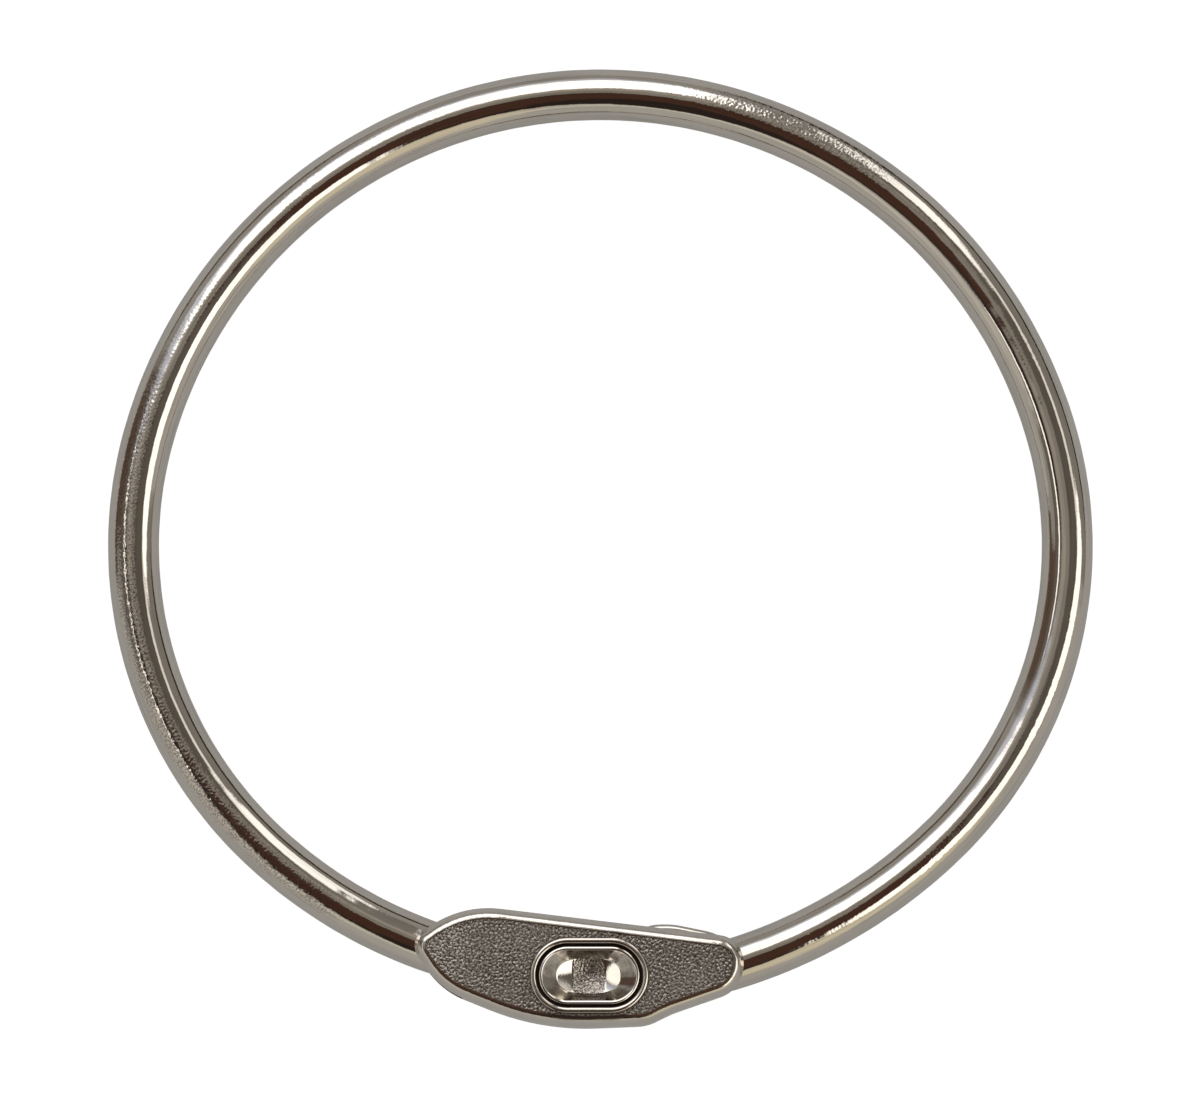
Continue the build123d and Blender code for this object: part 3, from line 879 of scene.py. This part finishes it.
def wire_nickel(hoop):
    """Bright plate on the wire, with faint lines from the drawing die.

    Its crown and the outer side of that are crinkled in patches, and crinkled and specked on two worn stretches,
    where the dark specks are partly worn plate and partly painted dark reflection.
    """

    def places(tree, place):
        straight = attribute(tree, STRAIGHT_NAME, "Vector")
        sides = sides_of(tree, straight)
        crown = fade_over(tree, maths(tree, "ABSOLUTE", sides["Z"]), CROWN, hoop.wire)
        crown = times(tree, crown, fade_over(tree, sides["Y"], OUTSIDE, hoop.wire))
        ends = [
            (fade(tree, sides["X"], start - WORN_FADE, start), fade(tree, sides["X"], end + WORN_FADE, end))
            for start, end in WORN_STRETCHES
        ]
        worn = highest(tree, *(times(tree, *pair) for pair in ends))
        crinkles = highest(tree, worn, times(tree, mottle(tree, place, *CRINKLES), CRINKLE_SHARE))
        # dark specks on the worn crown: partly worn plate, partly painted dark reflection
        specks = times(tree, mottle(tree, place, *WIRE_SPECKS), crown, worn, WIRE_SPECK_WEAR_AND_SHADE)
        links = ((0, straight), (1, LINE_PACE))
        drawn = node(tree, "ShaderNodeVectorMath", links, operation="MULTIPLY").outputs[0]
        lines = times(tree, mottle(tree, drawn, *DIE_LINES), DIE_LINE_SOIL)
        return highest(tree, times(tree, crown, crinkles), LEAST_WIRE_PEEL), highest(tree, specks, lines), 0

    return metal("polished_nickel", hoop.tint, hoop.roughness, WIRE_FACE, places)


def button_nickel(button, top):
    """Bright plate on the button, with a cast skin across the middle of the dish, painted shade on its side down in
    the gap, and painted shade and brown reflection down the walls of the dish.
    """

    def places(tree, place):
        sides = sides_of(tree, place)

        def below(limits, unit=1):
            """Faded in between two depths below the top."""
            return fade(tree, sides["Z"], *(top - unit * limit for limit in limits))

        reach = oval_reach(tree, place, button)
        # painted shade on the button's side, down in the gap to the collar
        stem = times(tree, fade_over(tree, reach, STEM_SIDE, button.short_side), below(STEM_DEPTH))
        beside = maths(tree, "ABSOLUTE", maths(tree, "SUBTRACT", sides["X"], BUTTON.x))
        skin = fade_over(tree, beside, SKIN_SIDE, button.long_side)
        skin = times(tree, skin, below(SKIN_DEPTH, button.dish_depth))
        specks = maths(tree, "MULTIPLY_ADD", mottle(tree, place, *SKIN_SPECKS), *SKIN_SPECK_SOIL)
        # painted shade and brown reflection, mottled, down the dish walls
        wall = times(tree, below(MOUTH_DEPTH), below(WALL_DEPTH, button.dish_depth))
        wall_shade = maths(tree, "MULTIPLY_ADD", mottle(tree, place, *WALL_SHADE_PATCHES), *WALL_PAINTED_SHADE)
        soil_and_shade = highest(tree, stem, times(tree, wall, wall_shade), times(tree, skin, specks))
        return highest(tree, skin, LEAST_BUTTON_PEEL), soil_and_shade, times(tree, skin, SKIN_ROUGHNESS)

    return metal("button_nickel", button.tint, button.roughness, BUTTON_FACE, places)


def clasp_nickel(clasp, button):
    """Plate on the casting, with painted shade down the hole of the button and on both sides of its collar."""

    def places(tree, place):
        reach = oval_reach(tree, place, button)
        limits = (BUTTON_HOLE, COLLAR_FOOT, COLLAR_END)
        hole, foot, end = (fade_over(tree, reach, pair, button.short_side) for pair in limits)
        # painted shade down the hole of the button and at the outer foot of the collar
        return 1, highest(tree, hole, times(tree, foot, end)), 0

    return metal("cast_nickel", clasp.tint, clasp.roughness, CAST_FACE, places)


def sanded_nickel(clasp):
    """Plate on the sand grain, with painted shade in its pits and along the edges of the panel."""

    def places(tree, place):
        # painted shade in the pits of the grain and along the panel's edges
        pit_shade = times(tree, fade(tree, attribute(tree, GRAIN_NAME, "Fac"), *PITS), PIT_PAINTED_SHADE)
        return 1, highest(tree, pit_shade, fade(tree, attribute(tree, EDGE_NAME, "Fac"), *PANEL_EDGE)), 0

    return metal("sanded_nickel", clasp.panel_tint, clasp.panel_roughness, SAND_FACE, places)


def plain_metal(name, tint):
    """Rolled or turned metal of the small parts."""
    return metal(name, tint, STEEL_ROUGHNESS, SMALL_PART_FACE, lambda tree, place: (1, 0, 0))


# Stage

WHITE = (1, 1, 1, 1)
LEAST_DEPTH = 0.001
CLIP_SPAN = 10

# soft fields of light and shade round the ring, each laid over the last: name, compass angle from +X and height of
# the middle, half width, half height and roll in degrees, softness of the edge, and colour
CARDS = (
    ("room_glow", 95, 25, 62, 26, 0, 0.4, (0.36, 0.35, 0.335)),
    ("right_wall", 15, 25, 42, 22, 0, 0.5, (0.27, 0.255, 0.235)),
    ("right_sweep", 336, 12, 22, 30, 0, 0.3, (0.5, 0.48, 0.45)),
    ("right_glow", 28, 45, 20, 5, 0, 0.8, (1.1, 1.08, 1.04)),
    ("left_corner", 167, 17, 15, 17, 0, 0.6, (0.13, 0.088, 0.07)),
    ("left_wall", 184, 22, 9, 11, 0, 0.4, (0.34, 0.33, 0.31)),
    ("right_skirting", 42, 3, 34, 5, 0, 0.3, (0.035, 0.03, 0.027)),
    ("left_skirting", 133, 3, 16, 6, 0, 0.7, (0.12, 0.1, 0.085)),
    ("front_sweep", 255, 8, 74, 40, 0, 0.25, (0.51, 0.5, 0.475)),
    ("front_crest", 255, 36, 45, 5, 0, 0.8, (0.72, 0.69, 0.62)),
    ("left_sweep", 208, 36, 13, 9, 0, 0.5, (0.6, 0.58, 0.54)),
    ("overhead", 60, 82, 36, 24, 0, 0.5, (0.14, 0.125, 0.11)),
    ("overhead_glow", 125, 75, 22, 10, 0, 0.8, (0.42, 0.39, 0.35)),
    ("warm_sweep", 304, 33, 20, 15, 10, 0.6, (0.8, 0.74, 0.58)),
    ("dark_edge", 261, 64, 24, 23, 45, 0.2, (0.022, 0.014, 0.012)),
    ("dark_card", 261, 68, 22, 21, 45, 0.25, (0.075, 0.036, 0.025)),
    ("dark_card_foot", 260, 52, 13, 12, 45, 0.5, (0.03, 0.021, 0.018)),
    ("left_shade", 193, 57, 11, 7, 0, 0.6, (0.04, 0.03, 0.028)),
    ("left_lamp", 182, 51, 16, 2.8, 0, 0.5, (1.7, 1.66, 1.6)),
    ("crown_glow", 95, 83, 8, 6, 0, 0.6, (0.3, 0.28, 0.25)),
    ("back_fringe", 108, 46, 30, 20, 20, 0.5, (0.8, 0.85, 1.0)),
    ("back_window", 101, 50, 25, 18, 18, 0.2, (2.0, 2.0, 2.05)),
    ("window_frame", 68, 46, 5, 20, 0, 0.5, (0.24, 0.225, 0.21)),
    ("side_window", 53, 40, 7, 16, 0, 0.5, (1.6, 1.6, 1.6)),
    ("side_window_foot", 60, 28, 5, 7, 0, 0.5, (1.4, 1.4, 1.4)),
    ("right_window", 341, 44, 27, 12, -26, 0.25, (1.9, 1.88, 1.8)),
)
HORIZON = (0.2, 0.19, 0.175)
ZENITH = (0.14, 0.125, 0.11)
PLAIN_LIGHT = (0.56, 0.56, 0.56)


def compass(turn, rise):
    """Unit direction at a compass angle from +X and a height above the horizon, in degrees."""
    turn, rise = math.radians(turn), math.radians(rise)
    return Vector((math.cos(turn) * math.cos(rise), math.sin(turn) * math.cos(rise), math.sin(rise)))


def soft_card():
    """Node group: how much of a soft-edged card lies in a direction.

    The direction is divided by its depth along the card's centre, as in a pinhole picture. Its two offsets, in half
    widths and half heights, are squared twice and added, and the root of that is faded out round 1.
    """
    vectors = [(label, "NodeSocketVector") for label in ("Direction", "Centre", "Across", "Upwards")]
    tree, start, end = group("soft_card", [*vectors, ("Softness", "NodeSocketFloat")], (("Mask", "NodeSocketFloat"),))
    source = start.outputs

    def along(axis):
        links = ((0, source["Direction"]), (1, source[axis]))
        return node(tree, "ShaderNodeVectorMath", links, operation="DOT_PRODUCT").outputs["Value"]

    depth = maths(tree, "MAXIMUM", along("Centre"), LEAST_DEPTH)
    offset = node(tree, "ShaderNodeCombineXYZ", ((0, along("Across")), (1, along("Upwards")))).outputs[0]
    share = maths(tree, "DIVIDE", 1, depth)
    links = ((0, offset), ("Scale", share))
    offset = node(tree, "ShaderNodeVectorMath", links, operation="SCALE").outputs[0]
    squares = node(tree, "ShaderNodeVectorMath", ((0, offset), (1, offset)), operation="MULTIPLY").outputs[0]
    reach = node(tree, "ShaderNodeVectorMath", ((0, squares),), operation="LENGTH").outputs["Value"]
    outer = maths(tree, "ADD", 1, source["Softness"])
    inner = maths(tree, "SUBTRACT", 1, source["Softness"])
    tree.links.new(fade(tree, reach, outer, inner), end.inputs["Mask"])
    return tree


def light_room(world):
    """Paint the soft cards over a dim room for metal to mirror, light the rest evenly, and show the camera white."""
    tree = world.node_tree
    background = tree.nodes["Background"]
    direction = node(tree, "ShaderNodeTexCoord").outputs["Generated"]
    painted = blend(tree, sides_of(tree, direction)["Z"], (*HORIZON, 1), (*ZENITH, 1))
    card = soft_card()
    for name, turn, rise, half_width, half_height, roll, softness, tint in CARDS:
        centre = compass(turn, rise)
        turned = Matrix.Rotation(math.radians(roll), 3, centre)
        across = turned @ compass(turn + 90, 0)
        mask = node(tree, "ShaderNodeGroup", ((0, direction),), node_tree=card, name=name)
        mask.inputs["Centre"].default_value = centre
        mask.inputs["Across"].default_value = across / math.tan(math.radians(half_width))
        mask.inputs["Upwards"].default_value = centre.cross(across) / math.tan(math.radians(half_height))
        mask.inputs["Softness"].default_value = softness
        painted = blend(tree, mask.outputs["Mask"], painted, (*tint, 1))
    room = node(tree, "ShaderNodeBackground", (("Color", painted),))
    path = node(tree, "ShaderNodeLightPath").outputs
    plain = blend(tree, path["Is Camera Ray"], (*PLAIN_LIGHT, 1), WHITE)
    tree.links.new(plain, background.inputs["Color"])
    links = ((0, path["Is Glossy Ray"]), (1, background.outputs[0]), (2, room.outputs[0]))
    both = node(tree, "ShaderNodeMixShader", links).outputs[0]
    tree.links.new(both, tree.nodes["World Output"].inputs["Surface"])


def pale_floor(stage):
    """Matt white that keeps the shadow, with a fill that lifts it to white for the camera."""
    material = bpy.data.materials.new("pale_floor")
    material.use_nodes = True
    tree = material.node_tree
    tree.nodes.remove(tree.nodes["Principled BSDF"])
    matt = node(tree, "ShaderNodeBsdfDiffuse", (("Color", (*stage.floor_tint, 1)),))
    path = node(tree, "ShaderNodeLightPath").outputs
    mirrored = highest(tree, path["Is Glossy Ray"], path["Is Transmission Ray"])
    seen = highest(tree, path["Is Camera Ray"], times(tree, mirrored, stage.metal_share))
    strength = times(tree, seen, stage.floor_fill)
    fill = node(tree, "ShaderNodeEmission", (("Color", WHITE), ("Strength", strength)))
    both = node(tree, "ShaderNodeAddShader", ((0, matt.outputs[0]), (1, fill.outputs[0])))
    tree.links.new(both.outputs[0], tree.nodes["Material Output"].inputs["Surface"])
    return material


def lay_floor(stage, height):
    """A level square under the ring."""
    half = stage.floor_side / 2
    corners = [(-half, -half, height), (half, -half, height), (half, half, height), (-half, half, height)]
    mesh = bpy.data.meshes.new("floor")
    mesh.from_pydata(corners, [], [(0, 1, 2, 3)])
    mesh.materials.append(pale_floor(stage))
    floor = bpy.data.objects.new("floor", mesh)
    bpy.context.scene.collection.objects.link(floor)


def set_camera(stage):
    """A camera that looks down on the ring from the front, a little off straight down."""
    camera = bpy.data.objects.new("camera", bpy.data.cameras.new("camera"))
    bpy.context.scene.collection.objects.link(camera)
    back = Vector((0, -math.sin(stage.tilt), math.cos(stage.tilt)))
    camera.location = Vector((stage.aim_x, stage.aim_y, 0)) + stage.distance * back
    camera.rotation_euler = (stage.tilt, 0, 0)
    camera.data.lens = stage.lens
    camera.data.clip_start, camera.data.clip_end = stage.distance / CLIP_SPAN, stage.distance * CLIP_SPAN
    bpy.context.scene.camera = camera


class BINDERRING_OT_stage(bpy.types.Operator):
    """Set up the pale floor, the soft studio light and the camera"""

    bl_idname = "binder_ring.stage"
    bl_label = "Stage"

    def execute(self, context):
        stage = context.scene.binder_ring.stage
        context.scene.view_settings.view_transform = "Standard"
        world = bpy.data.worlds.new("studio")
        world.use_nodes = True
        context.scene.world = world
        light_room(world)
        lay_floor(stage, CAD_BOX[0].z - stage.floor_gap)
        set_camera(stage)
        return {"FINISHED"}


# Add-on

OPERATORS = (
    BINDERRING_OT_hoop,
    BINDERRING_OT_clasp,
    BINDERRING_OT_button,
    BINDERRING_OT_catch,
    BINDERRING_OT_stage,
)


class BINDERRING_PT_sidebar(bpy.types.Panel):
    """Lists the pieces of the ring and their settings"""

    bl_idname = "BINDERRING_PT_sidebar"
    bl_label = "Binder ring"
    bl_space_type = "VIEW_3D"
    bl_region_type = "UI"
    bl_category = "Binder ring"

    def draw(self, context):
        settings = context.scene.binder_ring
        for operator in OPERATORS:
            self.layout.operator(operator.bl_idname)
        for part in (settings.hoop, settings.clasp, settings.button, settings.stage):
            box = self.layout.box()
            for name in part.__annotations__:
                box.prop(part, name)


CLASSES = (
    HoopSettings,
    ClaspSettings,
    ButtonSettings,
    StageSettings,
    BinderRingSettings,
    *OPERATORS,
    BINDERRING_PT_sidebar,
)


def register():
    """Add the settings, operators and sidebar."""
    for part in CLASSES:
        bpy.utils.register_class(part)
    bpy.types.Scene.binder_ring = PointerProperty(type=BinderRingSettings)


def unregister():
    """Take them out again."""
    del bpy.types.Scene.binder_ring
    for part in reversed(CLASSES):
        bpy.utils.unregister_class(part)


def main():
    """Build every piece and the stage."""
    register()
    bpy.ops.binder_ring.hoop()
    bpy.ops.binder_ring.clasp()
    bpy.ops.binder_ring.button()
    bpy.ops.binder_ring.catch()
    bpy.ops.binder_ring.stage()


if __name__ == "__main__":
    main()
